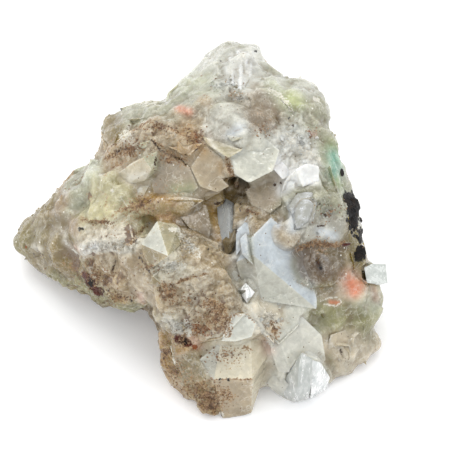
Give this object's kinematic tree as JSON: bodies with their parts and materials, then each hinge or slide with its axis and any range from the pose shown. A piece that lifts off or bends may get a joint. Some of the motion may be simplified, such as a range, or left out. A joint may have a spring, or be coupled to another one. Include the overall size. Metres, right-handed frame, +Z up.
{
  "type": "calcite specimen",
  "caption": "Cluster of intergrown translucent crystals with stained ledges and pits, broken flat underneath so that it stands on a table for display.",
  "frame": {"origin": "middle of the bottom of the bounding box, on the surface that the specimen stands on", "axes": "+Z up, +X to the right and -Y towards the viewer when the display side is faced"},
  "size_m": [0.0802, 0.081, 0.0442],
  "materials": {
    "calcite": "vitreous"
  },
  "bodies": {
    "root": {"calcite_cluster": "calcite"}
  },
  "joints": []
}
